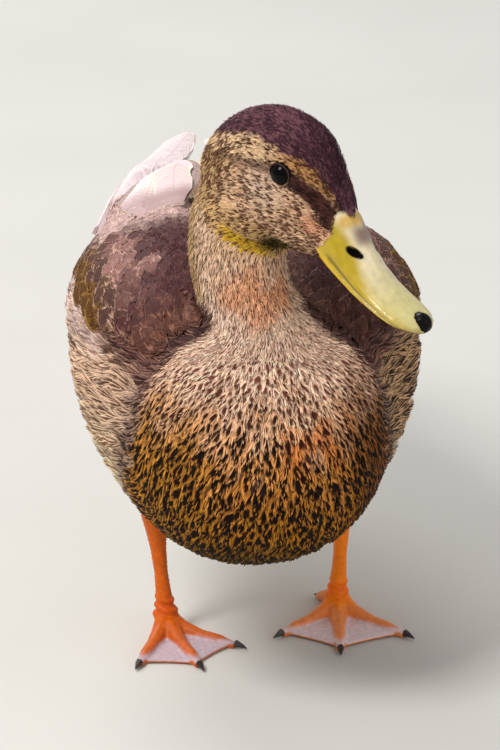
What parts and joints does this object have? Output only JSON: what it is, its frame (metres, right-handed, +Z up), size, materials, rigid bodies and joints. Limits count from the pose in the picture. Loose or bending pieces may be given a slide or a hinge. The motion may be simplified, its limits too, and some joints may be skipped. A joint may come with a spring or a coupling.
{
  "type": "mallard duck",
  "caption": "Standing mallard duck, life size, head turned to its left, wings folded, webbed feet flat on the floor.",
  "frame": {"origin": "on the floor under the middle of the duck's bounding box", "axes": "+Z up; the duck faces -Y and its left side is +X"},
  "size_m": [0.1622, 0.3668, 0.2756],
  "materials": {
    "breast_plumage": "soft overlapping feathers, orange-brown with dark spots",
    "neck_plumage": "short pale feathers with fine dark streaks",
    "head_plumage": "very short feathers, dark cap and eye stripe over tan",
    "thigh_plumage": "short brown feathers",
    "wing_plumage": "dark brown feathers with buff fringes",
    "tertial_feathers": "long smooth vanes, grey-lilac with cream edges",
    "primary_feathers": "long smooth vanes, pale",
    "tail_feathers": "long smooth vanes, brown with buff edges",
    "bill_horn": "smooth horn, satin, olive-yellow",
    "nail_horn": "glossy black horn",
    "eye": "wet, glossy, nearly black",
    "leg_skin": "scaly skin, satin, orange",
    "claw_horn": "dark horn"
  },
  "bodies": {
    "root": {"trunk": "breast_plumage", "neck": "neck_plumage", "head": "head_plumage", "bill_upper": "bill_horn", "bill_lower": "bill_horn", "bill_nail": "nail_horn", "eye_right": "eye", "eye_left": "eye", "wing_right": "wing_plumage", "tertials_right": "tertial_feathers", "primaries_right": "primary_feathers", "wing_left": "wing_plumage", "tertials_left": "tertial_feathers", "primaries_left": "primary_feathers", "tail": "tail_feathers", "thigh_right": "thigh_plumage", "shank_right": "leg_skin", "foot_right": "leg_skin", "claw_right_outer": "claw_horn", "claw_right_middle": "claw_horn", "claw_right_inner": "claw_horn", "claw_right_hind": "claw_horn", "thigh_left": "thigh_plumage", "shank_left": "leg_skin", "foot_left": "leg_skin", "claw_left_inner": "claw_horn", "claw_left_middle": "claw_horn", "claw_left_outer": "claw_horn", "claw_left_hind": "claw_horn"}
  },
  "joints": []
}
